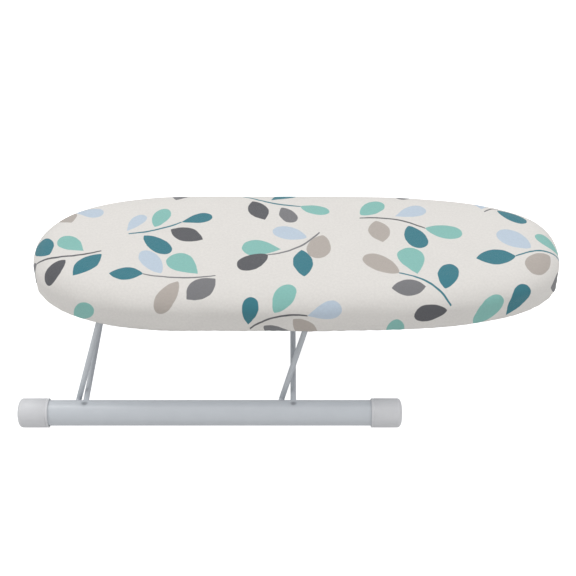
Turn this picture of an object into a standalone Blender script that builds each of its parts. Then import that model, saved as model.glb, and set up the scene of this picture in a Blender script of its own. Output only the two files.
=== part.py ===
"""Sleeve ironing board: a padded board on a wire parallelogram that folds down onto two foot tubes.

Metres, +Z up. +X runs along the board to its narrow nose, and the origin is on the floor under the
middle of the whole object. The board stands open: its legs lean a little past vertical and rest
against the cross wires.
"""

from math import cos, pi, radians, sin, tan

import bmesh
import bpy
from mathutils import Matrix, Vector

# Overall
OVERALL_LENGTH = 0.528
GAP = 0.0003
HALF_STEP = 0.5

# Foot tubes and end caps
FOOT_LENGTH = 0.375
FOOT_SPREAD = 0.190
TUBE_RADIUS = 0.0125
TUBE_WALL = 0.0012
CAP_RADIUS = 0.0143
CAP_LENGTH = 0.030
CAP_END = 0.003
CAP_ROUNDING = 0.007
CAP_DOME = 0.6
CAP_LIP = 0.0005
CAP_FLAT = 0.00045
CAP_STEPS = 5
TUBE_SIDES = 28

# Wires
WIRE_RADIUS = 0.0028
WIRE_BEND = 0.005
WIRE_BEND_STEPS = 5
WIRE_RESOLUTION = 3
LEG_LEAN = radians(17.0)
LEG_INWARD = radians(13.5)
LEG_PIVOTS = (0.056, 0.257)
LEG_FOOT_Y = 0.0772
PIN_DEPTH = 0.0065
WIRE_HOLE_RADIUS = 0.00315
CROSS_WIRE_RISE = 0.007
CROSS_WIRE_SLACK = (0.0008, 0.0036)
CROSS_WIRE_STOP = 0.0045

# Board
BOARD_LENGTH = 0.5125
BOARD_WIDTH = 0.181
BOARD_THICKNESS = 0.042
HEM_HEIGHT = 0.1004
TAIL_LENGTH = 0.157
TAIL_ROUNDNESS = 2.27
NOSE_LENGTH = 0.241
NOSE_ROUNDNESS = 2.68
EDGE_ROUNDING = 0.018
EDGE_STEPS = 5
OUTLINE_POINTS = 64
OUTLINE_FINE_STEPS = 240

# Cover, tray, pad and elastic
COVER_THICKNESS = 0.0012
COVER_TUCK = 0.015
HEM_CORNER = 0.002
HEM_CORNER_SHARE = 0.3
SHEET = 0.001
RIM_DEPTH = 0.014
RIM_CORNER = 0.003
RIM_STEPS = 3
PAD_LIFT = 0.0014
ELASTIC_RADIUS = 0.0015
ELASTIC_SIDES = 8
STEAM_HOLE_RADIUS = 0.0045
STEAM_HOLE_PITCH = 0.036
STEAM_HOLE_ROWS = (-0.048, 0.0, 0.048)
STEAM_HOLE_MARGIN = 0.022
STEAM_HOLE_STAGGER = 0.5
HOLE_SIDES = 12

# Saddle brackets and rivets
BRACKET_Y = 0.028
BRACKET_WIDTH = 0.014
BRACKET_SHEET = 0.0012
BRACKET_REACH = 0.0135
BRACKET_PLAY = 0.00035
BRACKET_STEPS = 8
RIVET_OFFSET = 0.009
RIVET_RADIUS = 0.0016
RIVET_HOLE_RADIUS = 0.0019
RIVET_HEAD_RADIUS = 0.003
RIVET_TOP = 0.0008
RIVET_DOME = 0.0012
RIVET_DOME_TIP = 0.4
RIVET_DOME_SHOULDER = (0.8, 0.7)
RIVET_SIDES = 16
ROD_SIDES = 20

# Finishes: colour, roughness, metallic
STEEL = ((0.42, 0.43, 0.44), 0.35, 0.9)
PAINT = ((0.62, 0.65, 0.69), 0.45, 0.0)
PLASTIC = ((0.72, 0.73, 0.74), 0.5, 0.0)
FOAM = ((0.80, 0.78, 0.70), 0.95, 0.0)
COTTON = ((0.84, 0.83, 0.80), 0.9, 0.0)
ELASTIC = ((0.85, 0.85, 0.83), 0.8, 0.0)
SHARP_ANGLE = radians(35.0)

# Worked out from the sizes above
FOOT_LEFT = -OVERALL_LENGTH / 2
FOOT_Y = FOOT_SPREAD / 2
FOOT_Z = CAP_RADIUS - CAP_FLAT
BOARD_RIGHT = OVERALL_LENGTH / 2
BOARD_LEFT = BOARD_RIGHT - BOARD_LENGTH
HEM_Z = FOOT_Z + HEM_HEIGHT
TRAY_INSET = COVER_THICKNESS + GAP
TRAY_Z = HEM_Z + COVER_THICKNESS + GAP
PLATE_TOP = TRAY_Z + RIM_DEPTH
PLATE_UNDER = PLATE_TOP - SHEET
CROSSBAR_Z = PLATE_UNDER - GAP - WIRE_RADIUS
LEG_RISE = CROSSBAR_Z - FOOT_Z
LEG_SHIFT = LEG_RISE * tan(LEG_LEAN)
CROSSBAR_Y = LEG_FOOT_Y - LEG_RISE * tan(LEG_INWARD)
CROSS_WIRE_Z = FOOT_Z + CROSS_WIRE_RISE
CROSS_WIRE_SHIFT = CROSS_WIRE_RISE * tan(LEG_LEAN) + (2 * WIRE_RADIUS + GAP) / cos(LEG_LEAN)

SIDES = {"left": 0, "right": 1}
ENDS = {"front": -1, "rear": 1}


def clear_scene():
    for obj in list(bpy.data.objects):
        bpy.data.objects.remove(obj)


def material(name, color, roughness, metallic):
    made = bpy.data.materials.new(name)
    made.use_nodes = True
    shader = made.node_tree.nodes["Principled BSDF"]
    shader.inputs["Base Color"].default_value = (*color, 1.0)
    shader.inputs["Roughness"].default_value = roughness
    shader.inputs["Metallic"].default_value = metallic
    return made


def solid(name, shape, finish, origin=(0, 0, 0)):
    """An object from a bmesh in world coordinates, with its own origin at the given point."""
    bmesh.ops.recalc_face_normals(shape, faces=shape.faces)
    bmesh.ops.translate(shape, verts=shape.verts, vec=-Vector(origin))
    mesh = bpy.data.meshes.new(name)
    shape.to_mesh(mesh)
    shape.free()
    mesh.shade_smooth()
    mesh.set_sharp_from_angle(angle=SHARP_ANGLE)
    obj = bpy.data.objects.new(name, mesh)
    obj.location = origin
    bpy.context.scene.collection.objects.link(obj)
    mesh.materials.append(finish)
    return obj


def cut(obj, cutter):
    """Subtracts a cutter, which stays in the scene as a hidden guide."""
    cutter.hide_render = True
    cutter.display_type = "WIRE"
    modifier = obj.modifiers.new(cutter.name, "BOOLEAN")
    modifier.operation = "DIFFERENCE"
    modifier.object = cutter


def bridge_rows(shape, rows, closed_profile):
    """Joins rings of equal length with quads. An open profile is closed with a face at each end."""
    rings = [[shape.verts.new(point) for point in row] for row in rows]
    pairs = list(zip(rings, rings[1:]))
    if closed_profile:
        pairs.append((rings[-1], rings[0]))
    for low, high in pairs:
        for index in range(len(low)):
            after = (index + 1) % len(low)
            shape.faces.new((low[index], low[after], high[after], high[index]))
    if not closed_profile:
        shape.faces.new(reversed(rings[0]))
        shape.faces.new(rings[-1])


def turned(profile, centre, axis, sides=TUBE_SIDES, closed_profile=False):
    """A turned body. The profile is (radius, distance along the axis) from one end to the other."""
    shape = bmesh.new()
    turn = Vector((0, 0, 1)).rotation_difference(Vector(axis)).to_matrix()
    rows = []
    for radius, along in profile:
        ring = []
        for step in range(sides):
            angle = 2 * pi * (step + HALF_STEP) / sides
            ring.append(Vector(centre) + turn @ Vector((radius * cos(angle), radius * sin(angle), along)))
        rows.append(ring)
    bridge_rows(shape, rows, closed_profile)
    return shape


def rod_cutter(name, radius, start, end):
    """A hidden cylinder for a round hole."""
    span = Vector(end) - Vector(start)
    shape = turned([(radius, 0), (radius, span.length)], start, span.normalized(), sides=ROD_SIDES)
    return solid(name, shape, bpy.data.materials["steel"])


def tube_between(name, points, radius, finish, origin):
    """A wire as a curve through points in world coordinates."""
    curve = bpy.data.curves.new(name, "CURVE")
    curve.dimensions = "3D"
    curve.bevel_depth = radius
    curve.bevel_resolution = WIRE_RESOLUTION
    curve.use_fill_caps = True
    spline = curve.splines.new("POLY")
    spline.points.add(len(points) - 1)
    for target, point in zip(spline.points, points):
        target.co = (*(Vector(point) - Vector(origin)), 1)
        target.radius = 1
    spline.use_smooth = True
    curve.materials.append(finish)
    obj = bpy.data.objects.new(name, curve)
    obj.location = origin
    bpy.context.scene.collection.objects.link(obj)
    return obj


def bent_path(corners):
    """The corners of a bent wire, with each inner corner turned into an arc."""
    corners = [Vector(corner) for corner in corners]
    path = [corners[0]]
    for before, corner, after in zip(corners, corners[1:], corners[2:]):
        back = (before - corner).normalized()
        ahead = (after - corner).normalized()
        half = back.angle(ahead) / 2
        reach = WIRE_BEND / tan(half)
        centre = corner + (back + ahead).normalized() * WIRE_BEND / sin(half)
        start = corner + back * reach - centre
        turn_axis = start.cross(corner + ahead * reach - centre)
        for step in range(WIRE_BEND_STEPS + 1):
            angle = (pi - 2 * half) * step / WIRE_BEND_STEPS
            path.append(centre + Matrix.Rotation(angle, 3, turn_axis) @ start)
    path.append(corners[-1])
    return path


def outline(inset=0.0):
    """The board's plan, anticlockwise from the nose: two superellipse ends joined by straight sides."""
    half_width = BOARD_WIDTH / 2
    fine = []
    for step in range(4 * OUTLINE_FINE_STEPS):
        angle = pi / 2 * (step + HALF_STEP) / OUTLINE_FINE_STEPS
        nose = cos(angle) > 0
        reach = NOSE_LENGTH if nose else TAIL_LENGTH
        power = 2 / (NOSE_ROUNDNESS if nose else TAIL_ROUNDNESS)
        middle = BOARD_RIGHT - NOSE_LENGTH if nose else BOARD_LEFT + TAIL_LENGTH
        across = abs(sin(angle)) ** power * half_width
        along = abs(cos(angle)) ** power * reach
        fine.append(Vector((middle + (along if nose else -along), across if sin(angle) > 0 else -across)))
    lengths = [(fine[(i + 1) % len(fine)] - fine[i]).length for i in range(len(fine))]
    total = sum(lengths)
    points = []
    index, passed = 0, 0.0
    for mark in range(OUTLINE_POINTS):
        target = total * mark / OUTLINE_POINTS
        while passed + lengths[index] < target:
            passed += lengths[index]
            index += 1
        here, after = fine[index], fine[(index + 1) % len(fine)]
        direction = (after - here).normalized()
        point = here + direction * (target - passed)
        points.append(point + Vector((-direction.y, direction.x)) * inset)
    return points


def ring(inset, height):
    return [(point.x, point.y, height) for point in outline(inset)]


def rounded_rows(inset, bottom, top, rounding, steps=EDGE_STEPS):
    """Rings up a side from bottom to top, with a rounded upper edge."""
    rows = [ring(inset, bottom), ring(inset, top - rounding)]
    for step in range(1, steps + 1):
        angle = pi / 2 * step / steps
        rows.append(ring(inset + rounding * (1 - cos(angle)), top - rounding * (1 - sin(angle))))
    return rows


def cross_wire_x(side):
    """The stop wire's place along the board: against the leg, and a little beyond it for play."""
    index = SIDES[side]
    return FOOT_LEFT + LEG_PIVOTS[index] + CROSS_WIRE_SHIFT + CROSS_WIRE_SLACK[index]


def foot_tube(end, finish):
    """A steel tube with holes in its inner side for the leg pins and the cross wires."""
    y = ENDS[end] * FOOT_Y
    inner_y = ENDS[end] * (FOOT_Y - 2 * TUBE_RADIUS)
    length = FOOT_LENGTH - 2 * (CAP_END + GAP)
    start = (FOOT_LEFT + CAP_END + GAP, y, FOOT_Z)
    bore = TUBE_RADIUS - TUBE_WALL
    profile = [(TUBE_RADIUS, 0), (TUBE_RADIUS, length), (bore, length), (bore, 0)]
    shape = turned(profile, start, (1, 0, 0), closed_profile=True)
    tube = solid(f"foot_tube_{end}", shape, finish)
    for side, index in SIDES.items():
        pin_x = FOOT_LEFT + LEG_PIVOTS[index]
        wire_x = cross_wire_x(side)
        for use, x, z in (("pin", pin_x, FOOT_Z), ("wire", wire_x, CROSS_WIRE_Z)):
            name = f"{use}_hole_{end}_{side}"
            cut(tube, rod_cutter(name, WIRE_HOLE_RADIUS, (x, inner_y, z), (x, y, z)))


def end_cap(end, side, finish):
    """A moulded cup over the end of a foot tube, domed outside, with a small flat to stand on."""
    outward = 1 if side == "right" else -1
    centre = (FOOT_LEFT + FOOT_LENGTH * SIDES[side], ENDS[end] * FOOT_Y, FOOT_Z)
    bore = TUBE_RADIUS + GAP
    profile = [(bore, CAP_END), (bore, CAP_LENGTH - CAP_LIP), (bore + CAP_LIP, CAP_LENGTH)]
    profile += [(CAP_RADIUS - CAP_LIP, CAP_LENGTH), (CAP_RADIUS, CAP_LENGTH - CAP_LIP)]
    for step in range(CAP_STEPS + 1):
        angle = pi / 2 * (1 - step / CAP_STEPS)
        radius = CAP_RADIUS - CAP_ROUNDING * (1 - sin(angle))
        profile.append((radius, CAP_ROUNDING * (1 - cos(angle)) * CAP_DOME))
    shape = turned(profile, centre, (-outward, 0, 0))
    cap = solid(f"end_cap_{end}_{side}", shape, finish)
    block = bmesh.new()
    size = (3 * CAP_LENGTH, 3 * CAP_RADIUS, 2 * CAP_RADIUS)
    place = Matrix.LocRotScale((centre[0], centre[1], -CAP_RADIUS), None, size)
    bmesh.ops.create_cube(block, size=1, matrix=place)
    cut(cap, solid(f"cap_flat_{end}_{side}", block, finish))


def cross_wire(side, finish):
    """A straight wire between the foot tubes, set into holes in their inner sides. It stops the leg."""
    x = cross_wire_x(side)
    reach = FOOT_Y - CROSS_WIRE_STOP
    ends = [(x, -reach, CROSS_WIRE_Z), (x, reach, CROSS_WIRE_Z)]
    tube_between(f"cross_wire_{side}", ends, WIRE_RADIUS, finish, (0, 0, 0))


def leg(side, finish):
    """One bent wire: pins that turn in the foot tubes, two arms, and the crossbar under the board."""
    x = FOOT_LEFT + LEG_PIVOTS[SIDES[side]]
    pin_end = FOOT_Y - TUBE_RADIUS + PIN_DEPTH
    corners = [(x, pin_end, FOOT_Z), (x, LEG_FOOT_Y, FOOT_Z), (x + LEG_SHIFT, CROSSBAR_Y, CROSSBAR_Z)]
    corners += [(cx, -cy, cz) for cx, cy, cz in reversed(corners)]
    tube_between(f"leg_{side}", bent_path(corners), WIRE_RADIUS, finish, (x, 0, FOOT_Z))


def crossbar_x(side):
    return FOOT_LEFT + LEG_PIVOTS[SIDES[side]] + LEG_SHIFT


def board_axis():
    """The right crossbar, which the board turns on as it folds."""
    return (crossbar_x("right"), 0, CROSSBAR_Z)


def rivet_places():
    places = []
    for side in SIDES:
        for end, sign in ENDS.items():
            for number, offset in enumerate((-RIVET_OFFSET, RIVET_OFFSET), start=1):
                name = f"{side}_{end}_{number}"
                places.append((name, crossbar_x(side) + offset, sign * BRACKET_Y))
    return places


def steam_hole_places():
    """A staggered grid of holes, kept clear of the rim and the rivets."""
    places = []
    for row, y in enumerate(STEAM_HOLE_ROWS):
        x = BOARD_LEFT + STEAM_HOLE_PITCH * (1 + STEAM_HOLE_STAGGER * (row % 2))
        while x < BOARD_RIGHT:
            edge = min((point - Vector((x, y))).length for point in outline())
            rivet = min(abs(x - rivet_x) + abs(y - rivet_y) for _, rivet_x, rivet_y in rivet_places())
            if edge > STEAM_HOLE_MARGIN and rivet > STEAM_HOLE_MARGIN:
                places.append((x, y))
            x += STEAM_HOLE_PITCH
    return places


def board_tray(finish):
    """Sheet steel with a turned-down rim, steam holes and rivet holes."""
    rows = rounded_rows(TRAY_INSET, TRAY_Z, PLATE_TOP, RIM_CORNER, RIM_STEPS)
    inside = rounded_rows(TRAY_INSET + SHEET, TRAY_Z, PLATE_UNDER, RIM_CORNER - SHEET, RIM_STEPS)
    shape = bmesh.new()
    bridge_rows(shape, list(reversed(rows)) + inside, closed_profile=False)
    tray = solid("board_tray", shape, finish, board_axis())
    holes = bmesh.new()
    places = [(x, y, STEAM_HOLE_RADIUS) for x, y in steam_hole_places()]
    places += [(x, y, RIVET_HOLE_RADIUS) for _, x, y in rivet_places()]
    for x, y, radius in places:
        place = Matrix.Translation((x, y, PLATE_TOP))
        bmesh.ops.create_cone(holes, cap_ends=True, segments=HOLE_SIDES, radius1=radius,
                              radius2=radius, depth=RIM_DEPTH, matrix=place)
    cut(tray, solid("tray_holes", holes, finish))


def foam_pad(finish):
    """The pad over the tray, with a well-rounded upper edge."""
    top = HEM_Z + BOARD_THICKNESS - COVER_THICKNESS - GAP
    rows = rounded_rows(TRAY_INSET, PLATE_TOP + PAD_LIFT, top, EDGE_ROUNDING - TRAY_INSET)
    shape = bmesh.new()
    bridge_rows(shape, rows, closed_profile=False)
    solid("foam_pad", shape, finish, board_axis())


def cover(finish):
    """The fitted cotton cover: top, rounded edge, side, and a hem tucked under the rim."""
    top = HEM_Z + BOARD_THICKNESS
    skin = COVER_THICKNESS
    chamfer = HEM_CORNER * HEM_CORNER_SHARE
    outer = [ring(COVER_TUCK, HEM_Z), ring(HEM_CORNER, HEM_Z), ring(chamfer, HEM_Z + chamfer)]
    outer += rounded_rows(0, HEM_Z + HEM_CORNER, top, EDGE_ROUNDING)
    inner = [ring(COVER_TUCK, HEM_Z + skin)]
    inner += rounded_rows(skin, HEM_Z + skin, top - skin, EDGE_ROUNDING - skin)
    shape = bmesh.new()
    bridge_rows(shape, list(reversed(outer)) + inner, closed_profile=False)
    solid("cover", shape, finish, board_axis())


def hem_elastic(finish):
    """A round elastic that runs along the inner edge of the hem."""
    height = HEM_Z + ELASTIC_RADIUS + GAP
    middle = COVER_TUCK + GAP + ELASTIC_RADIUS
    rows = []
    for step in range(ELASTIC_SIDES):
        angle = 2 * pi * step / ELASTIC_SIDES
        rows.append(ring(middle + ELASTIC_RADIUS * cos(angle), height + ELASTIC_RADIUS * sin(angle)))
    shape = bmesh.new()
    bridge_rows(shape, rows, closed_profile=True)
    solid("hem_elastic", shape, finish, board_axis())


def saddle_bracket(side, end, finish):
    """A strap bent round the crossbar, with a flange each side that is riveted to the tray."""
    x = crossbar_x(side)
    top = PLATE_UNDER - GAP
    inner = WIRE_RADIUS + BRACKET_PLAY
    outer = inner + BRACKET_SHEET
    lower = [(-BRACKET_REACH, top - BRACKET_SHEET)]
    upper = [(-BRACKET_REACH, top)]
    for step in range(BRACKET_STEPS + 1):
        angle = pi + pi * step / BRACKET_STEPS
        lower.append((outer * cos(angle), CROSSBAR_Z + outer * sin(angle)))
        upper.append((inner * cos(angle), CROSSBAR_Z + inner * sin(angle)))
    lower.insert(1, (-outer, top - BRACKET_SHEET))
    upper.insert(1, (-inner, top))
    lower += [(outer, top - BRACKET_SHEET), (BRACKET_REACH, top - BRACKET_SHEET)]
    upper += [(inner, top), (BRACKET_REACH, top)]
    profile = lower + list(reversed(upper))
    shape = bmesh.new()
    y = ENDS[end] * BRACKET_Y
    rows = [[(x + along, y + edge, height) for along, height in profile]
            for edge in (-BRACKET_WIDTH / 2, BRACKET_WIDTH / 2)]
    bridge_rows(shape, rows, closed_profile=False)
    bracket = solid(f"saddle_bracket_{side}_{end}", shape, finish, board_axis())
    for offset in (-RIVET_OFFSET, RIVET_OFFSET):
        low = (x + offset, y, top - 2 * BRACKET_SHEET)
        high = (x + offset, y, top + 2 * BRACKET_SHEET)
        cut(bracket, rod_cutter(f"{bracket.name}_hole_{offset > 0:d}", RIVET_HOLE_RADIUS, low, high))


def rivet(name, x, y, finish):
    """A rivet with a flat head above the tray and a dome under the bracket."""
    flange_under = PLATE_UNDER - GAP - BRACKET_SHEET - GAP
    plate_over = PLATE_TOP + GAP
    wide, deep = RIVET_DOME_SHOULDER
    profile = [(RIVET_DOME_TIP * RIVET_HEAD_RADIUS, flange_under - RIVET_DOME),
               (wide * RIVET_HEAD_RADIUS, flange_under - deep * RIVET_DOME),
               (RIVET_HEAD_RADIUS, flange_under),
               (RIVET_RADIUS, flange_under), (RIVET_RADIUS, plate_over),
               (RIVET_HEAD_RADIUS, plate_over), (RIVET_HEAD_RADIUS, plate_over + RIVET_TOP)]
    shape = turned(profile, (x, y, 0), (0, 0, 1), sides=RIVET_SIDES)
    solid(f"rivet_{name}", shape, finish, board_axis())


def build():
    clear_scene()
    steel = material("steel", *STEEL)
    paint = material("powder_coat", *PAINT)
    plastic = material("cap_plastic", *PLASTIC)
    foam = material("foam", *FOAM)
    cotton = material("cotton", *COTTON)
    elastic = material("elastic", *ELASTIC)
    for end in ENDS:
        foot_tube(end, paint)
        for side in SIDES:
            end_cap(end, side, plastic)
            saddle_bracket(side, end, steel)
    for side in SIDES:
        cross_wire(side, paint)
        leg(side, paint)
    board_tray(paint)
    foam_pad(foam)
    cover(cotton)
    hem_elastic(elastic)
    for name, x, y in rivet_places():
        rivet(name, x, y, steel)


build()
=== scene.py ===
"""The looks of a sleeve ironing board: printed cotton cover, wire legs, foot tubes and end caps."""

from math import cos, hypot, pi, radians, sin, tan
from random import Random

import bmesh
import bpy
from mathutils import Matrix, Vector, noise


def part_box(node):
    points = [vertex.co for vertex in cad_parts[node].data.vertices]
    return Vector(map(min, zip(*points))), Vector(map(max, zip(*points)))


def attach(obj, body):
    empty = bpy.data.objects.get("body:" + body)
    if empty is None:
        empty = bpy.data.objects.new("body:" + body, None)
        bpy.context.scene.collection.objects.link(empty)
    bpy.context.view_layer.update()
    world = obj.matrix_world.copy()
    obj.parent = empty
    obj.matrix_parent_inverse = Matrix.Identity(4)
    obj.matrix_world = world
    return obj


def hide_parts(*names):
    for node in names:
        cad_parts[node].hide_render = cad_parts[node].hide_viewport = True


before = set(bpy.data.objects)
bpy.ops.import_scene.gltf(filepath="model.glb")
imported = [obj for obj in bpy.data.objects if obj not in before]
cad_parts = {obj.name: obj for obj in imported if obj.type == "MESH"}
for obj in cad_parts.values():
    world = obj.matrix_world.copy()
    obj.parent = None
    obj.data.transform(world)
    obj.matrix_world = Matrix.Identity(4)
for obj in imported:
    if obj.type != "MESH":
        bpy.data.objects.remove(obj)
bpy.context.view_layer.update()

# Places read from the frame; the padded top stands a little higher than its plain solid
TOP_LIFT = 0.001
COVER_LOW, COVER_HIGH = (Vector(corner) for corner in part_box("cover"))
PAD_LOW = Vector(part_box("foam_pad")[0])
HEM_Z = COVER_LOW.z
TOP_Z = COVER_HIGH.z + TOP_LIFT
BOARD_LEFT = COVER_LOW.x
BOARD_RIGHT = COVER_HIGH.x
HALF_WIDTH = COVER_HIGH.y

# The board's plan: two superellipse ends joined by straight sides
TAIL_LENGTH = 0.157
TAIL_ROUNDNESS = 2.27
NOSE_LENGTH = 0.241
NOSE_ROUNDNESS = 2.68
QUARTER_STEPS = 1200
NORMAL_REACH = 2

# The cover's section
EDGE_REACH = 0.034
EDGE_DROP = 0.023
HEM_CORNER = 0.003
HEM_TUCK = 0.015
OUTLINE_POINTS = 480
TOP_RINGS = 22
EDGE_RINGS = 12
SIDE_RINGS = 9
CORNER_RINGS = 4
TUCK_RINGS = 9
CROWN = 0.0016
CROWN_POWER = 3
CLOTH_GAP = 0.0004

# Unevenness of the cover: sag of the top, puckers of the side and pleats of the hem
SAG_DEPTH = 0.0005
SAG_SCALE = 16.0
SAG_SEED = 4.0
SAG_FADE = 4
SETTLE_SCALE = 22
SETTLE_SCALE_UP = 60
UNEVEN_SCALE = 9
UNEVEN_SEED = 11.0
PUCKERS = 74
PUCKER_DEPTH = 0.00045
PUCKER_BASE = 0.5
PUCKER_DRIFT = 5
PUCKER_GROWTH = 1.5
PLEATS = 118
PLEAT_DEPTH = 0.0011
PLEAT_DRIFT = 7
HEM_PLEAT_SHARE = 0.25

# The pad, just inside the cover
PAD_POINTS = 120
PAD_EDGE_RINGS = 8
PAD_TOP_GAP = 0.0015
PAD_SIDE_GAP = 0.0008
PAD_CHAMFER = 0.001

# Elastic stitching
ELASTIC_RADIUS = 0.0015
STITCH_RADIUS = 0.00022
STITCH_PITCH = 0.0028
STITCH_OUTLINE = 1600
STITCH_REACH = 0.9 * (ELASTIC_RADIUS + 0.0012)
STITCH_BELOW = 0.0006
STITCH_ABOVE = 0.0002

# Foot tubes and their weld dimples
TUBE_RADIUS = 0.0125
TUBE_SIDES = 96
TUBE_STEPS = 40
DIMPLE_RADIUS = 0.0060
DIMPLE_DEPTH = 0.0013
DIMPLE_TILT = radians(7.0)
DIMPLE_STEPS = 16

# End caps
CAP_RADIUS = 0.0143
CAP_ROUNDING = 0.0072
CAP_DOME = 0.6
CAP_STEPS = 16
CAP_POLE = 0.0001
CAP_END_WALL = 0.004
CAP_BORE = TUBE_RADIUS + 0.0003
CAP_BORE_CHAMFER = 0.0004
CAP_BEAD = 0.0028
CAP_GROOVE = 0.0003
CAP_LIP = 0.0006
CAP_CREASE = radians(45)

# Wires
WIRE_BEND = 0.005
BEND_STEPS = 12
LEG_FOOT_Y = 0.0772
LEG_INWARD = radians(13.5)
CROSS_WIRE_STEPS = 8
WIRE_SIDES = 6
THREAD_SIDES = 1

# Camera, floor and light
CAMERA_PLACE = (-0.0003, -0.9316, 0.8488)
CAMERA_PITCH = radians(39.0)
CAMERA_LENS = 74.9
SENSOR_WIDTH = 36
FLOOR_HALF = 60.0
FLOOR_SHADE = 0.50
FLOOR_GLOW = 0.92
FLOOR_DROP = 0.0004
FLOOR_BOUNCE = 0.25
SKY = 0.60
LIGHTS = (
    ("key", (-0.2, 0.5, 2.5), 1.4, 15.0),
    ("left", (-2.0, -0.5, 1.9), 1.2, 17.0),
    ("right", (2.0, -0.5, 1.9), 1.2, 17.0),
)

SIDES = ("left", "right")
ENDS = ("front", "rear")
RIVETS = (1, 2)

# Print: colours as linear values
TEAL = (0.048, 0.205, 0.255)
MINT = (0.250, 0.520, 0.475)
PALE = (0.520, 0.610, 0.710)
GREY = (0.205, 0.205, 0.215)
DARK = (0.110, 0.112, 0.122)
TAUPE = (0.465, 0.420, 0.385)
GROUND = (0.735, 0.712, 0.682)
GROUND_LIFT = 1.045

# Shapes of the print: how the outline closes at the tip and at the base
DROP = (0.52, 1.05)
ROUND = (0.50, 0.72)
LEAF = (0.95, 0.90)
STEM = (0.08, 0.08)
INK_EDGE = 0.00035
INK_FADE = 4

# The print is a plain half-drop repeat of sprigs, each an arched stem with loose leaves
CLOTH_LENGTH = 0.605
CLOTH_WIDTH = 0.273
PRINT_SEED = 3
SPRIG_PITCH = (0.116, 0.082)
SPRIG_SHIFT = 0.25
SPRIG_STRAY = 0.006
SPRIG_SWING = radians(38)
SPRIG_LEAVES = 5
SPRIG_SET_BACK = 0.25
STEM_LENGTH = (0.054, 0.072)
STEM_WIDTH = 0.0021
STEM_ARCH = (1.5, 4.0)
STEM_ARCH_TURN = 3
LEAF_LENGTH = (0.029, 0.040)
LEAF_SLIMNESS = (0.46, 0.68)
LEAF_GAP = 0.0055
LEAF_LEAN = (radians(38), radians(68))
LEAF_INKS = (TEAL, GREY, MINT, TAUPE, PALE, TEAL, MINT, DARK)
LEAF_INK_STEP = 3
LEAF_SHAPES = (DROP, ROUND, ROUND, LEAF)
STEM_INKS = (TEAL, DARK, GREY)

# Uniform values of each material's shader
COTTON = {"Roughness": 0.86, "Sheen Weight": 0.18, "Sheen Roughness": 0.45, "Specular IOR Level": 0.25}
PAINT = {"Specular IOR Level": 0.85}
CAP = {"Specular IOR Level": 0.45}
ZINC = {"Metallic": 0.9}
FOAM = {"Roughness": 0.95}
BRAID = {"Roughness": 0.8, "Sheen Weight": 0.2}
THREAD = {"Roughness": 0.6, "Sheen Weight": 0.3}
FLOOR = {"Roughness": 0.8, "Specular IOR Level": 0.0}

# Noise: the spans over which a look goes from its first value to its second, and the detail
NOISE_SPAN = (0.3, 0.7)
WIDE_SPAN = (0.25, 0.75)
NOISE_ROUGHNESS = 0.55
SMOOTH_DETAIL = 2.0
PLAIN_DETAIL = 3.0
FINE_DETAIL = 5.0

# Cotton: scales are in repeats per metre, heights in metres
WOBBLE_SCALE = 70.0
WOBBLE_REACH = (0.0022, 0.0022, 0.0)
MID_NOISE = (0.5, 0.5, 0.5)
DYE_SCALE = 28.0
PATCH_SCALE = 420.0
PATCH_DETAIL = 4.0
PATCH_SHADES = (0.972, 1.022)
THREAD_PITCH = 0.00055
THREAD_DEPTH = 0.00006
THREAD_SHADE = 0.018
SLUB_SCALE = 160.0
SLUB_HEIGHT = 0.00025

# Powder coat
PAINT_COLORS = ((0.540, 0.570, 0.607), (0.555, 0.585, 0.622))
PAINT_SCALE = 60.0
PAINT_ROUGHNESS = (0.33, 0.40)
RUB_SCALE = 140.0
# Painted shade: the coat turns dark towards the middle of each dimple over the welds
DIMPLE_SHADE_COLOR = (0.150, 0.160, 0.180)
DIMPLE_SHADE_SPAN = (0.15, 0.95)
DIMPLE_SHADE_SHARES = (0.0, 0.70)
ORANGE_PEEL_SCALE = 900.0
ORANGE_PEEL_HEIGHT = 0.00005

# Cap plastic
CAP_COLORS = ((0.600, 0.605, 0.625), (0.635, 0.640, 0.660))
CAP_SCALE = 90.0
CAP_ROUGHNESS = (0.42, 0.75)
SCUFF_COLOR = (0.36, 0.36, 0.36)
SCUFF_RISE = 0.004
SCUFF_SCALE = 500.0
SCUFF_SPAN = (0.45, 0.65)
GRAIN_SCALE = 1400.0
GRAIN_HEIGHT = 0.00003

# Zinc-plated steel, foam, elastic and thread
ZINC_COLORS = ((0.46, 0.47, 0.48), (0.62, 0.63, 0.65))
ZINC_ROUGHNESS = (0.28, 0.46)
ZINC_SCALE = 260.0
SPANGLE_SCALE = 320.0
FOAM_COLORS = ((0.66, 0.62, 0.50), (0.72, 0.69, 0.58))
FOAM_SCALE = 40.0
CELL_SCALE = 900.0
CELL_DEPTH = 0.0004
BRAID_COLORS = ((0.50, 0.49, 0.47), (0.76, 0.75, 0.72))
BRAID_PITCH = 0.0012
BRAID_HEIGHT = 0.00015
BRAID_TURNS = ((1, 1, 1), (1, -1, -1))
THREAD_COLORS = ((0.66, 0.65, 0.62), (0.80, 0.79, 0.76))
THREAD_TWIST_SCALE = 2500.0


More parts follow.
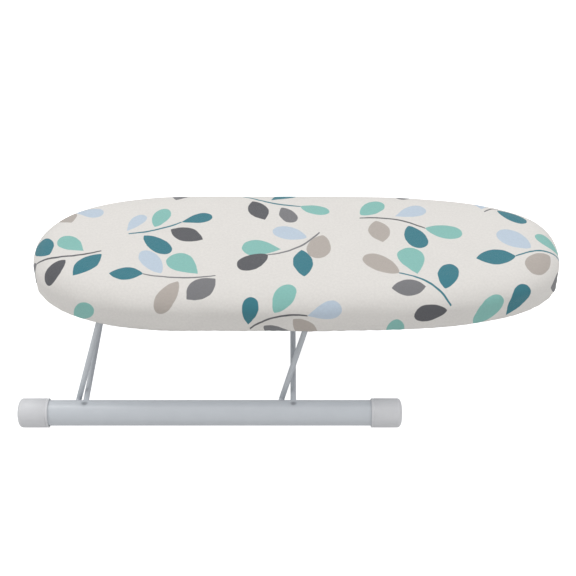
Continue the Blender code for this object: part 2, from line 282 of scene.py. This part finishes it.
class Nodes:
    """A short way to write a material's node tree."""

    def __init__(self, tree):
        self.tree = tree

    def add(self, kind, **settings):
        node = self.tree.nodes.new(kind)
        for name, value in settings.items():
            setattr(node, name, value)
        return node

    def feed(self, socket, value):
        if isinstance(value, bpy.types.NodeSocket):
            self.tree.links.new(value, socket)
        else:
            socket.default_value = value

    def math(self, operation, first, second=0.0, third=0.0):
        node = self.add("ShaderNodeMath", operation=operation)
        for socket, value in zip(node.inputs, (first, second, third)):
            self.feed(socket, value)
        return node.outputs[0]

    def vector(self, operation, first, second):
        node = self.add("ShaderNodeVectorMath", operation=operation)
        self.feed(node.inputs[0], first)
        self.feed(node.inputs[1], second)
        return node.outputs["Value" if operation == "DOT_PRODUCT" else "Vector"]

    def noise(self, place, scale, detail=PLAIN_DETAIL):
        node = self.add("ShaderNodeTexNoise")
        self.feed(node.inputs["Vector"], place)
        node.inputs["Scale"].default_value = scale
        node.inputs["Detail"].default_value = detail
        node.inputs["Roughness"].default_value = NOISE_ROUGHNESS
        return node.outputs["Fac"]

    def mix(self, share, first, second, blend="MIX"):
        node = self.add("ShaderNodeMix", data_type="RGBA", blend_type=blend)
        self.feed(node.inputs["Factor"], share)
        self.feed(node.inputs["A"], first)
        self.feed(node.inputs["B"], second)
        return node.outputs["Result"]

    def remap(self, value, low, high, to_low=0.0, to_high=1.0):
        node = self.add("ShaderNodeMapRange", interpolation_type="SMOOTHSTEP")
        for socket, number in zip(node.inputs, (value, low, high, to_low, to_high)):
            self.feed(socket, number)
        return node.outputs["Result"]

    def bump(self, height, distance, normal=None):
        node = self.add("ShaderNodeBump")
        node.inputs["Distance"].default_value = distance
        self.feed(node.inputs["Height"], height)
        if normal is not None:
            self.feed(node.inputs["Normal"], normal)
        return node.outputs["Normal"]


def new_material(name, values):
    """(material, node helper, Principled shader), with the uniform values set on the shader itself."""
    made = bpy.data.materials.new(name)
    made.use_nodes = True
    shader = made.node_tree.nodes["Principled BSDF"]
    for socket, value in values.items():
        shader.inputs[socket].default_value = value
    return made, Nodes(made.node_tree), shader


def opaque(color):
    return (*color, 1.0)


def object_place(nodes):
    return nodes.add("ShaderNodeTexCoord").outputs["Object"]


def between(nodes, share, colors):
    """The first colour where the share is 0 and the second where it is 1."""
    first, second = colors
    return nodes.mix(share, opaque(first), opaque(second))


def sprig(x, y, number, chance):
    """One arched stem with a leaf at its tip and loose leaves on both sides."""
    heading = pi * number + chance.uniform(-SPRIG_SWING, SPRIG_SWING)
    ahead = Vector((cos(heading), sin(heading)))
    across = Vector((-sin(heading), cos(heading)))
    stem = chance.uniform(*STEM_LENGTH)
    arch = chance.uniform(*STEM_ARCH) * (1 if number % STEM_ARCH_TURN else -1)
    middle = Vector((x, y)) - SPRIG_SET_BACK * stem * ahead
    stem_ink = STEM_INKS[number % len(STEM_INKS)]
    shapes = [(middle.x, middle.y, heading, stem, STEM_WIDTH, STEM, arch, stem_ink)]
    for leaf in range(SPRIG_LEAVES):
        share = 2 * leaf / (SPRIG_LEAVES - 1) - 1
        side = (-1) ** leaf if share < 1 else 0
        rise = arch * STEM_WIDTH / 2 * (1 - 2 * share ** 2) + side * LEAF_GAP
        turn = heading + side * chance.uniform(*LEAF_LEAN)
        length = chance.uniform(*LEAF_LENGTH)
        width = length * chance.uniform(*LEAF_SLIMNESS)
        base = middle + ahead * stem / 2 * share + across * rise
        place = base + length / 2 * Vector((cos(turn), sin(turn)))
        shape = LEAF_SHAPES[(number + leaf) % len(LEAF_SHAPES)]
        ink = LEAF_INKS[(LEAF_INK_STEP * number + leaf) % len(LEAF_INKS)]
        shapes.append((place.x, place.y, turn, length, width, shape, 0.0, ink))
    return shapes


def print_shapes():
    """Every printed shape on the flat cloth: (x, y, direction, length, width, shape, bend, ink)."""
    chance = Random(PRINT_SEED)
    pitch_x, pitch_y = SPRIG_PITCH
    columns = int(CLOTH_LENGTH / 2 / pitch_x) + 1
    rows = int(CLOTH_WIDTH / 2 / pitch_y) + 1
    shapes = []
    number = 0
    for column in range(-columns, columns + 1):
        for row in range(-rows, rows + 1):
            x = pitch_x * column + chance.uniform(-SPRIG_STRAY, SPRIG_STRAY)
            y = pitch_y * (row + column % 2 / 2 - SPRIG_SHIFT) + chance.uniform(-SPRIG_STRAY, SPRIG_STRAY)
            shapes += sprig(x, y, number, chance)
            number += 1
    half_length, half_width = CLOTH_LENGTH / 2, CLOTH_WIDTH / 2
    return [shape for shape in shapes if hypot(shape[0] / half_length, shape[1] / half_width) < 1]


def print_mask(nodes, cloth, x, y, direction, length, width, shape, bend):
    """1 inside a printed shape and 0 outside it, worked out from the flat cloth's coordinates."""
    tip, base = shape
    widest = (base - tip) / (base + tip)
    full = (1 - widest) ** tip * (1 + widest) ** base
    along = Vector((cos(direction), sin(direction), 0)) / (length / 2)
    across = Vector((-sin(direction), cos(direction), 0)) / (width / 2)
    offset = nodes.vector("SUBTRACT", cloth, (x, y, 0))
    a = nodes.vector("DOT_PRODUCT", offset, along)
    b = nodes.vector("DOT_PRODUCT", offset, across)
    if bend:
        b = nodes.math("MULTIPLY_ADD", nodes.math("MULTIPLY_ADD", a, a, -0.5), 2 * bend, b)
    inside = nodes.math("MAXIMUM", nodes.math("SUBTRACT", 1.0, a), 0.0)
    toward_tip = nodes.math("POWER", inside, tip)
    toward_base = nodes.math("POWER", nodes.math("MAXIMUM", nodes.math("ADD", 1.0, a), 0.0), base)
    half = nodes.math("MULTIPLY", toward_tip, toward_base)
    edge = nodes.math("SUBTRACT", nodes.math("DIVIDE", half, full), nodes.math("ABSOLUTE", b))
    beyond = nodes.math("MAXIMUM", nodes.math("SUBTRACT", nodes.math("ABSOLUTE", a), 1.0), 0.0)
    edge = nodes.math("MULTIPLY_ADD", beyond, -length / width * INK_FADE, edge)
    soft = INK_EDGE / (width / 2)
    return nodes.remap(edge, -soft, soft)


def cotton():
    """Printed cotton: leaves on a light ground, plain weave, soft sheen and a slightly uneven dye."""
    made, nodes, shader = new_material("printed_cotton", COTTON)
    cloth = nodes.add("ShaderNodeAttribute", attribute_name="cloth").outputs["Vector"]
    wobble = nodes.add("ShaderNodeTexNoise")
    nodes.feed(wobble.inputs["Vector"], cloth)
    wobble.inputs["Scale"].default_value = WOBBLE_SCALE
    moved = nodes.vector("SUBTRACT", wobble.outputs["Color"], MID_NOISE)
    place = nodes.vector("ADD", cloth, nodes.vector("MULTIPLY", moved, WOBBLE_REACH))
    lighter = tuple(part * GROUND_LIFT for part in GROUND)
    color = between(nodes, nodes.noise(cloth, DYE_SCALE), (GROUND, lighter))
    for *shape, ink in print_shapes():
        color = nodes.mix(print_mask(nodes, place, *shape), color, opaque(ink))
    patchy = nodes.remap(nodes.noise(cloth, PATCH_SCALE, PATCH_DETAIL), *NOISE_SPAN, *PATCH_SHADES)
    split = nodes.add("ShaderNodeSeparateXYZ")
    nodes.feed(split.inputs[0], cloth)
    turns = 2 * pi / THREAD_PITCH
    warp = nodes.math("SINE", nodes.math("MULTIPLY", split.outputs[0], turns))
    weft = nodes.math("SINE", nodes.math("MULTIPLY", split.outputs[1], turns))
    weave = nodes.math("MULTIPLY", warp, weft)
    shade = nodes.math("MULTIPLY_ADD", weave, THREAD_SHADE, patchy)
    tone = nodes.add("ShaderNodeCombineXYZ")
    for socket in tone.inputs:
        nodes.feed(socket, shade)
    nodes.feed(shader.inputs["Base Color"], nodes.mix(1.0, color, tone.outputs[0], "MULTIPLY"))
    slub = nodes.bump(nodes.noise(cloth, SLUB_SCALE, FINE_DETAIL), SLUB_HEIGHT)
    nodes.feed(shader.inputs["Normal"], nodes.bump(weave, THREAD_DEPTH, slub))
    return made


def powder_coat():
    """Light grey powder coat with a fine orange peel and faint rub marks, with painted shade darkening
    the dimples over the welds.
    """
    made, nodes, shader = new_material("powder_coat_grey", PAINT)
    place = object_place(nodes)
    tint = nodes.remap(nodes.noise(place, PAINT_SCALE), *NOISE_SPAN)
    paint = between(nodes, tint, PAINT_COLORS)
    # Painted shade: the colour gets darker the deeper a point lies in a dimple over the welds
    shaded_weld = nodes.add("ShaderNodeAttribute", attribute_name="shaded_weld").outputs["Fac"]
    color = nodes.mix(nodes.remap(shaded_weld, *DIMPLE_SHADE_SPAN, *DIMPLE_SHADE_SHARES), paint, opaque(DIMPLE_SHADE_COLOR))
    nodes.feed(shader.inputs["Base Color"], color)
    rub = nodes.noise(place, RUB_SCALE, FINE_DETAIL)
    nodes.feed(shader.inputs["Roughness"], nodes.remap(rub, *WIDE_SPAN, *PAINT_ROUGHNESS))
    peel = nodes.noise(place, ORANGE_PEEL_SCALE, SMOOTH_DETAIL)
    nodes.feed(shader.inputs["Normal"], nodes.bump(peel, ORANGE_PEEL_HEIGHT))
    return made


def cap_plastic():
    """Satin moulded plastic, a little scuffed where it stands."""
    made, nodes, shader = new_material("cap_plastic_white", CAP)
    place = object_place(nodes)
    height = nodes.add("ShaderNodeSeparateXYZ")
    nodes.feed(height.inputs[0], place)
    low = nodes.remap(height.outputs[2], 0.0, SCUFF_RISE, 1.0, 0.0)
    rubbed = nodes.remap(nodes.noise(place, SCUFF_SCALE, FINE_DETAIL), *SCUFF_SPAN)
    scuff = nodes.math("MULTIPLY", low, rubbed)
    clean = between(nodes, nodes.noise(place, CAP_SCALE), CAP_COLORS)
    nodes.feed(shader.inputs["Base Color"], nodes.mix(scuff, clean, opaque(SCUFF_COLOR)))
    nodes.feed(shader.inputs["Roughness"], nodes.remap(scuff, 0.0, 1.0, *CAP_ROUGHNESS))
    grain = nodes.noise(place, GRAIN_SCALE, SMOOTH_DETAIL)
    nodes.feed(shader.inputs["Normal"], nodes.bump(grain, GRAIN_HEIGHT))
    return made


def zinc_steel():
    """Zinc-plated sheet with a soft spangle."""
    made, nodes, shader = new_material("zinc_steel", ZINC)
    place = object_place(nodes)
    spangle = nodes.add("ShaderNodeTexVoronoi")
    nodes.feed(spangle.inputs["Vector"], place)
    spangle.inputs["Scale"].default_value = SPANGLE_SCALE
    nodes.feed(shader.inputs["Base Color"], between(nodes, spangle.outputs["Distance"], ZINC_COLORS))
    dull = nodes.noise(place, ZINC_SCALE)
    nodes.feed(shader.inputs["Roughness"], nodes.remap(dull, *NOISE_SPAN, *ZINC_ROUGHNESS))
    return made


def foam():
    """Open-cell foam, slightly yellowed."""
    made, nodes, shader = new_material("open_cell_foam", FOAM)
    place = object_place(nodes)
    cells = nodes.add("ShaderNodeTexVoronoi")
    nodes.feed(cells.inputs["Vector"], place)
    cells.inputs["Scale"].default_value = CELL_SCALE
    nodes.feed(shader.inputs["Base Color"], between(nodes, nodes.noise(place, FOAM_SCALE), FOAM_COLORS))
    nodes.feed(shader.inputs["Normal"], nodes.bump(cells.outputs["Distance"], CELL_DEPTH))
    return made


def braid():
    """White elastic cord with a braided cover."""
    made, nodes, shader = new_material("braided_elastic", BRAID)
    place = object_place(nodes)
    waves = []
    for turn in BRAID_TURNS:
        lean = nodes.vector("DOT_PRODUCT", place, turn)
        waves.append(nodes.math("SINE", nodes.math("MULTIPLY", lean, 2 * pi / BRAID_PITCH)))
    strands = nodes.math("MAXIMUM", *waves)
    nodes.feed(shader.inputs["Base Color"], between(nodes, nodes.remap(strands, -1.0, 1.0), BRAID_COLORS))
    nodes.feed(shader.inputs["Normal"], nodes.bump(strands, BRAID_HEIGHT))
    return made


def thread():
    """Off-white polyester sewing thread."""
    made, nodes, shader = new_material("sewing_thread", THREAD)
    twist = nodes.noise(object_place(nodes), THREAD_TWIST_SCALE)
    nodes.feed(shader.inputs["Base Color"], between(nodes, twist, THREAD_COLORS))
    return made


def floor_white():
    """A bright floor that keeps a faint shadow, throws little light back up and is clear from below."""
    made, nodes, shader = new_material("studio_floor", FLOOR)
    shader.inputs["Base Color"].default_value = opaque((FLOOR_SHADE, FLOOR_SHADE, FLOOR_SHADE))
    glow = nodes.add("ShaderNodeEmission")
    seen = nodes.add("ShaderNodeLightPath").outputs["Is Camera Ray"]
    strength = nodes.math("MULTIPLY_ADD", seen, FLOOR_GLOW - FLOOR_BOUNCE, FLOOR_BOUNCE)
    nodes.feed(glow.inputs["Strength"], strength)
    both = nodes.add("ShaderNodeAddShader")
    output = made.node_tree.nodes["Material Output"]
    nodes.feed(both.inputs[0], shader.outputs[0])
    nodes.feed(both.inputs[1], glow.outputs[0])
    above = nodes.add("ShaderNodeMixShader")
    nodes.feed(above.inputs[0], nodes.add("ShaderNodeNewGeometry").outputs["Backfacing"])
    nodes.feed(above.inputs[1], both.outputs[0])
    nodes.feed(above.inputs[2], nodes.add("ShaderNodeBsdfTransparent").outputs[0])
    nodes.feed(output.inputs["Surface"], above.outputs[0])
    return made


def link(obj, finish, body):
    bpy.context.scene.collection.objects.link(obj)
    obj.data.materials.append(finish)
    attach(obj, body)
    return obj


def mesh_piece(name, shape, finish, body):
    mesh = bpy.data.meshes.new(name)
    shape.to_mesh(mesh)
    shape.free()
    mesh.shade_smooth()
    return link(bpy.data.objects.new(name, mesh), finish, body)


def board_edge():
    """Closely spaced points round the board's plan, anticlockwise from its nose."""
    fine = []
    for step in range(4 * QUARTER_STEPS):
        angle = pi / 2 * (step + 0.5) / QUARTER_STEPS
        nose = cos(angle) > 0
        reach = NOSE_LENGTH if nose else TAIL_LENGTH
        power = 2 / (NOSE_ROUNDNESS if nose else TAIL_ROUNDNESS)
        middle = BOARD_RIGHT - NOSE_LENGTH if nose else BOARD_LEFT + TAIL_LENGTH
        across = abs(sin(angle)) ** power * HALF_WIDTH
        along = abs(cos(angle)) ** power * reach
        fine.append(Vector((middle + (along if nose else -along), across if sin(angle) > 0 else -across)))
    return fine


def outline(count):
    """[(point, outward direction)] round the board's plan, evenly spaced and anticlockwise."""
    fine = board_edge()
    lengths = [(fine[(i + 1) % len(fine)] - fine[i]).length for i in range(len(fine))]
    total = sum(lengths)
    points = []
    index, passed = 0, 0.0
    for mark in range(count):
        target = total * mark / count
        while passed + lengths[index] < target:
            passed += lengths[index]
            index += 1
        here, after = fine[index], fine[(index + 1) % len(fine)]
        points.append(here + (after - here).normalized() * (target - passed))
    made = []
    for index, point in enumerate(points):
        ahead = points[(index + NORMAL_REACH) % count] - points[index - NORMAL_REACH]
        made.append((point, Vector((ahead.y, -ahead.x)).normalized()))
    return made


def wander(x, y, seed):
    """A smooth random value from about -1 to 1."""
    return 2 * noise.noise(Vector((x, y, seed)))


def edge_section():
    """The cover's section from the flat top outwards: (inset, height, length of cloth, pucker, pleat)."""
    section = []
    cloth = 0.0
    before = (EDGE_REACH, TOP_Z)
    for step in range(1, EDGE_RINGS + 1):
        angle = pi / 2 * step / EDGE_RINGS
        place = (EDGE_REACH * (1 - sin(angle)), TOP_Z - EDGE_DROP * (1 - cos(angle)))
        cloth += hypot(place[0] - before[0], place[1] - before[1])
        before = place
        section.append((*place, cloth, 0.0, 0.0))
    drop = TOP_Z - EDGE_DROP - HEM_Z - HEM_CORNER
    for step in range(1, SIDE_RINGS + 1):
        share = step / SIDE_RINGS
        height = TOP_Z - EDGE_DROP - drop * share
        section.append((0.0, height, cloth + drop * share, share ** PUCKER_GROWTH, 0.0))
    cloth += drop
    turned = HEM_CORNER * pi / 2
    for step in range(1, CORNER_RINGS + 1):
        angle = pi / 2 * step / CORNER_RINGS
        share = step / CORNER_RINGS
        place = (HEM_CORNER * (1 - cos(angle)), HEM_Z + HEM_CORNER * (1 - sin(angle)))
        section.append((*place, cloth + turned * share, 1.0, HEM_PLEAT_SHARE * share))
    cloth += turned
    tuck = HEM_TUCK - HEM_CORNER
    for step in range(1, TUCK_RINGS + 1):
        share = step / TUCK_RINGS
        pleat = HEM_PLEAT_SHARE + (1 - HEM_PLEAT_SHARE) * share
        section.append((HEM_CORNER + tuck * share, HEM_Z, cloth + tuck * share, 1.0, pleat))
    return section


def top_height(plan, share):
    """Height of the top at a share of the way from its middle to its rounded edge."""
    dip = SAG_DEPTH * wander(plan.x * SAG_SCALE, plan.y * SAG_SCALE, SAG_SEED)
    return TOP_Z - CROWN * share ** CROWN_POWER + dip * (1 - share ** SAG_FADE) - SAG_DEPTH


def edge_place(index, edge, outward, row):
    """(place, place on the flat cloth) of one point of the rounded edge, the side or the hem."""
    inset, height, cloth, pucker, pleat = row
    turn = 2 * pi * index / OUTLINE_POINTS
    uneven = wander(edge.x * UNEVEN_SCALE, edge.y * UNEVEN_SCALE, UNEVEN_SEED)
    gather = sin(PUCKERS * turn + PUCKER_DRIFT * uneven) * (PUCKER_BASE + uneven) * PUCKER_DEPTH * pucker
    settle = SAG_DEPTH * wander(edge.x * SETTLE_SCALE, edge.y * SETTLE_SCALE, height * SETTLE_SCALE_UP)
    settle *= 1 - inset / EDGE_REACH
    fold = sin(PLEATS * turn + PLEAT_DRIFT * uneven) * PLEAT_DEPTH * pleat
    on_side = height > HEM_Z + 2 * HEM_CORNER
    crown = (CROWN + SAG_DEPTH) * inset / EDGE_REACH if on_side else 0.0
    place = edge - outward * (inset - gather - settle + CLOTH_GAP)
    flat = edge + outward * (cloth - EDGE_REACH)
    return (place.x, place.y, height + fold - crown), flat


def cover_cloth(finish):
    """The cover as one sheet of cloth, lofted from the middle of its top to its gathered hem."""
    rim = outline(OUTLINE_POINTS)
    middle = Vector(((BOARD_LEFT + BOARD_RIGHT) / 2, 0))
    shape = bmesh.new()
    flat_layer = shape.verts.layers.float_vector.new("cloth")

    def point(place, flat):
        made = shape.verts.new(place)
        made[flat_layer] = (flat.x, flat.y, 0)
        return made

    rings = []
    for step in range(1, TOP_RINGS + 1):
        share = step / TOP_RINGS
        ring = []
        for edge, outward in rim:
            plan = middle + (edge - outward * EDGE_REACH - middle) * share
            ring.append(point((plan.x, plan.y, top_height(plan, share)), plan))
        rings.append(ring)
    centre = point((middle.x, middle.y, top_height(middle, 0.0)), middle)
    for row in edge_section():
        rings.append([point(*edge_place(index, *spot, row)) for index, spot in enumerate(rim)])
    for index in range(OUTLINE_POINTS):
        after = (index + 1) % OUTLINE_POINTS
        shape.faces.new((centre, rings[0][index], rings[0][after]))
        for inner, outer in zip(rings, rings[1:]):
            shape.faces.new((inner[index], outer[index], outer[after], inner[after]))
    cloth = mesh_piece("cover_cloth", shape, finish, "board")
    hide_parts("cover")
    return cloth


def join_rings(shape, rings):
    """Four-sided faces between each ring of points and the next."""
    count = len(rings[0])
    for lower, upper in zip(rings, rings[1:]):
        for index in range(count):
            after = (index + 1) % count
            shape.faces.new((lower[index], lower[after], upper[after], upper[index]))


def foam_piece(finish):
    """The pad, a little crowned, just inside the cover."""
    rim = outline(PAD_POINTS)
    top = TOP_Z - CROWN - 2 * SAG_DEPTH - PAD_TOP_GAP
    low = PAD_LOW.z
    inset = PAD_LOW.x - BOARD_LEFT + PAD_SIDE_GAP
    reach, drop = EDGE_REACH - inset, EDGE_DROP - inset
    section = [(inset + PAD_CHAMFER, low), (inset, low + PAD_CHAMFER), (inset, top - drop)]
    for step in range(1, PAD_EDGE_RINGS + 1):
        angle = pi / 2 * step / PAD_EDGE_RINGS
        section.append((inset + reach * (1 - cos(angle)), top - drop * (1 - sin(angle))))
    shape = bmesh.new()
    rings = []
    for inward, height in section:
        rings.append([shape.verts.new((*(edge - outward * inward), height)) for edge, outward in rim])
    join_rings(shape, rings)
    shape.faces.new(reversed(rings[0]))
    shape.faces.new(rings[-1])
    pad = mesh_piece("foam_pad_soft", shape, finish, "board")
    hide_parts("foam_pad")
    return pad


def wire_curve(name, path, radius, finish, body, closed=False, sides=WIRE_SIDES):
    """A round wire or thread along a list of points."""
    curve = bpy.data.curves.new(name, "CURVE")
    curve.dimensions = "3D"
    curve.bevel_depth = radius
    curve.bevel_resolution = sides
    curve.use_fill_caps = True
    spline = curve.splines.new("POLY")
    spline.points.add(len(path) - 1)
    for target, point in zip(spline.points, path):
        target.co = (*point, 1)
    spline.use_cyclic_u = closed
    spline.use_smooth = True
    return link(bpy.data.objects.new(name, curve), finish, body)


def hem_stitches(finish):
    """A zigzag of thread that binds the elastic to the hem."""
    rim = outline(STITCH_OUTLINE)
    length = sum((rim[i][0] - rim[i - 1][0]).length for i in range(len(rim)))
    count = 2 * int(length / STITCH_PITCH)
    path = []
    for number in range(count):
        edge, outward = rim[int(number * len(rim) / count)]
        outer = number % 2 == 1
        reach = HEM_TUCK + ELASTIC_RADIUS - (STITCH_REACH if outer else -STITCH_REACH)
        height = HEM_Z - STITCH_BELOW if outer else HEM_Z + STITCH_ABOVE
        path.append((*(edge - outward * reach), height))
    return wire_curve("hem_stitches", path, STITCH_RADIUS, finish, "board", True, THREAD_SIDES)


def bent_path(corners, bend):
    """The corners of a bent wire, with each inner corner turned into an arc."""
    corners = [Vector(corner) for corner in corners]
    path = [corners[0]]
    for before, corner, after in zip(corners, corners[1:], corners[2:]):
        back = (before - corner).normalized()
        ahead = (after - corner).normalized()
        half = back.angle(ahead) / 2
        centre = corner + (back + ahead).normalized() * bend / sin(half)
        start = corner + back * bend / tan(half) - centre
        axis = start.cross(corner + ahead * bend / tan(half) - centre)
        for step in range(BEND_STEPS + 1):
            path.append(centre + Matrix.Rotation((pi - 2 * half) * step / BEND_STEPS, 3, axis) @ start)
    path.append(corners[-1])
    return path


def leg_wire(side, finish):
    """The bent wire of one leg, on the centre line of its CAD node."""
    low, high = (Vector(corner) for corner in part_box(f"leg_{side}"))
    cross_low, cross_high = (Vector(corner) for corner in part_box(f"cross_wire_{side}"))
    radius = (cross_high.x - cross_low.x) / 2
    foot = (low.x + radius, LEG_FOOT_Y, low.z + radius)
    head_z = high.z - radius
    head = (high.x - radius, LEG_FOOT_Y - (head_z - foot[2]) * tan(LEG_INWARD), head_z)
    corners = [(foot[0], high.y, foot[2]), foot, head]
    corners += [(x, -y, z) for x, y, z in reversed(corners)]
    path = bent_path(corners, WIRE_BEND)
    wire = wire_curve(f"leg_wire_{side}", path, radius, finish, f"leg_{side}")
    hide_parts(f"leg_{side}")


def cross_wire_piece(side, finish):
    """The straight wire between the foot tubes that one leg rests against."""
    low, high = (Vector(corner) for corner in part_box(f"cross_wire_{side}"))
    radius = (high.x - low.x) / 2
    x, z = (low.x + high.x) / 2, (low.z + high.z) / 2
    steps = CROSS_WIRE_STEPS
    path = [(x, low.y + (high.y - low.y) * step / steps, z) for step in range(steps + 1)]
    wire = wire_curve(f"cross_wire_round_{side}", path, radius, finish, "base")
    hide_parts(f"cross_wire_{side}")


def weld_points(end):
    """Where each cross wire is welded in, on the top of the tube just above the wire."""
    points = []
    low, high = (Vector(corner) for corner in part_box(f"foot_tube_{end}"))
    y, z = (low.y + high.y) / 2, (low.z + high.z) / 2
    inward = 1 if end == "front" else -1
    across = inward * TUBE_RADIUS * sin(DIMPLE_TILT)
    above = TUBE_RADIUS * cos(DIMPLE_TILT)
    for side in SIDES:
        wire_low, wire_high = (Vector(corner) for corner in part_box(f"cross_wire_{side}"))
        points.append(Vector(((wire_low.x + wire_high.x) / 2, y + across, z + above)))
    return points


def circle_angles():
    return [2 * pi * step / TUBE_SIDES for step in range(TUBE_SIDES)]


def foot_tube_piece(end, finish):
    """A round tube with a shallow weld dimple over each cross wire."""
    low, high = (Vector(corner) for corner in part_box(f"foot_tube_{end}"))
    centre = (low + high) / 2
    welds = weld_points(end)
    marks = [low.x + (high.x - low.x) * step / TUBE_STEPS for step in range(TUBE_STEPS + 1)]
    dimple = [DIMPLE_RADIUS * (2 * step / DIMPLE_STEPS - 1) for step in range(DIMPLE_STEPS + 1)]
    for shaded_weld in welds:
        marks += [shaded_weld.x + along for along in dimple]
    shape = bmesh.new()
    # How deep each point lies in a dimple, kept as the mask for the painted shade in the powder coat
    mark = shape.verts.layers.float.new("shaded_weld")
    rings = []
    for x in sorted(marks):
        ring = []
        for angle in circle_angles():
            out = Vector((0, cos(angle), sin(angle)))
            place = Vector((x, centre.y, centre.z)) + out * TUBE_RADIUS
            near = min((place - shaded_weld).length for shaded_weld in welds) / DIMPLE_RADIUS
            depth = (1 + cos(pi * near)) / 2 if near < 1 else 0.0
            made = shape.verts.new(place - out * DIMPLE_DEPTH * depth)
            made[mark] = depth
            ring.append(made)
        rings.append(ring)
    join_rings(shape, rings)
    shape.faces.new(reversed(rings[0]))
    shape.faces.new(rings[-1])
    tube = mesh_piece(f"foot_tube_round_{end}", shape, finish, "base")
    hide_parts(f"foot_tube_{end}")


def cap_profile(length):
    """[(radius, distance from the tip)] of a cap: dome, side, bead and lip, then back inside the bore."""
    profile = [(CAP_POLE, 0.0)]
    for step in range(CAP_STEPS + 1):
        angle = pi / 2 * step / CAP_STEPS
        radius = CAP_RADIUS - CAP_ROUNDING * (1 - sin(angle))
        profile.append((radius, CAP_ROUNDING * (1 - cos(angle)) * CAP_DOME))
    mouth = length - CAP_BEAD
    profile.append((CAP_RADIUS, mouth))
    profile.append((CAP_RADIUS - CAP_GROOVE, mouth + CAP_GROOVE))
    profile.append((CAP_RADIUS - CAP_GROOVE, mouth + 2 * CAP_GROOVE))
    profile.append((CAP_RADIUS, mouth + 3 * CAP_GROOVE))
    profile.append((CAP_RADIUS, length - CAP_LIP))
    profile.append((CAP_RADIUS - CAP_LIP / 3, length - CAP_LIP / 3))
    profile.append((CAP_RADIUS - CAP_LIP, length))
    profile.append((CAP_BORE + CAP_BORE_CHAMFER, length))
    profile.append((CAP_BORE, length - CAP_BORE_CHAMFER))
    profile.append((CAP_BORE, CAP_END_WALL))
    profile.append((CAP_POLE, CAP_END_WALL))
    return profile


def cap_piece(end, side, finish):
    """A turned end cap with a soft dome, a bead at its mouth and a flat to stand on."""
    low, high = (Vector(corner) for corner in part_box(f"end_cap_{end}_{side}"))
    outward = 1 if side == "right" else -1
    tip_x = high.x if side == "right" else low.x
    y, z = (low.y + high.y) / 2, high.z - CAP_RADIUS
    shape = bmesh.new()
    rings = []
    for radius, along in cap_profile(high.x - low.x):
        ring = []
        for angle in circle_angles():
            height = max(z + radius * sin(angle), 0.0)
            ring.append(shape.verts.new((tip_x - outward * along, y + radius * cos(angle), height)))
        rings.append(ring)
    join_rings(shape, rings)
    shape.faces.new(rings[0])
    shape.faces.new(rings[-1])
    bmesh.ops.recalc_face_normals(shape, faces=shape.faces)
    cap = mesh_piece(f"end_cap_turned_{end}_{side}", shape, finish, "base")
    cap.data.set_sharp_from_angle(angle=CAP_CREASE)
    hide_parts(f"end_cap_{end}_{side}")


def finish_node(name, finish):
    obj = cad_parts[name]
    for slot in obj.material_slots:
        slot.material = finish


def add_floor():
    """One large pale floor, a little below the feet."""
    shape = bmesh.new()
    bmesh.ops.create_grid(shape, x_segments=1, y_segments=1, size=FLOOR_HALF)
    mesh = bpy.data.meshes.new("floor")
    shape.to_mesh(mesh)
    shape.free()
    floor = bpy.data.objects.new("floor", mesh)
    floor.location.z = -FLOOR_DROP
    bpy.context.scene.collection.objects.link(floor)
    mesh.materials.append(floor_white())


def add_light(name, place, size, power):
    """A round soft lamp that points at the origin."""
    lamp = bpy.data.lights.new(name, "AREA")
    lamp.shape = "DISK"
    lamp.size = size
    lamp.energy = power
    obj = bpy.data.objects.new(name, lamp)
    obj.location = place
    obj.rotation_euler = (-Vector(place)).to_track_quat("-Z", "Y").to_euler()
    bpy.context.scene.collection.objects.link(obj)


def add_sky():
    """An even pale surround, pure white where the camera sees it."""
    world = bpy.data.worlds.new("studio")
    world.use_nodes = True
    background = world.node_tree.nodes["Background"]
    background.inputs["Color"].default_value = (1, 1, 1, 1)
    sky = Nodes(world.node_tree)
    seen = sky.add("ShaderNodeLightPath").outputs["Is Camera Ray"]
    sky.feed(background.inputs["Strength"], sky.math("MULTIPLY_ADD", seen, 1 - SKY, SKY))
    bpy.context.scene.world = world
    bpy.context.scene.view_settings.view_transform = "Standard"


def add_camera():
    """The camera, where the view fitted to the photograph says."""
    camera = bpy.data.cameras.new("camera")
    camera.lens = CAMERA_LENS
    camera.sensor_width = SENSOR_WIDTH
    eye = bpy.data.objects.new("camera", camera)
    eye.location = CAMERA_PLACE
    eye.rotation_euler = (pi / 2 - CAMERA_PITCH, 0, 0)
    bpy.context.scene.collection.objects.link(eye)
    bpy.context.scene.camera = eye


def build():
    add_floor()
    for light in LIGHTS:
        add_light(*light)
    add_sky()
    add_camera()
    paint = powder_coat()
    zinc = zinc_steel()
    plastic = cap_plastic()
    pad = foam_piece(foam())
    finish_node("hem_elastic", braid())
    stitches = hem_stitches(thread())
    cloth = cover_cloth(cotton())
    finish_node("board_tray", paint)
    for side in SIDES:
        leg_wire(side, paint)
        cross_wire_piece(side, paint)
        for end in ENDS:
            finish_node(f"saddle_bracket_{side}_{end}", zinc)
            for number in RIVETS:
                finish_node(f"rivet_{side}_{end}_{number}", zinc)
    for end in ENDS:
        foot_tube_piece(end, paint)
        for side in SIDES:
            cap_piece(end, side, plastic)


build()
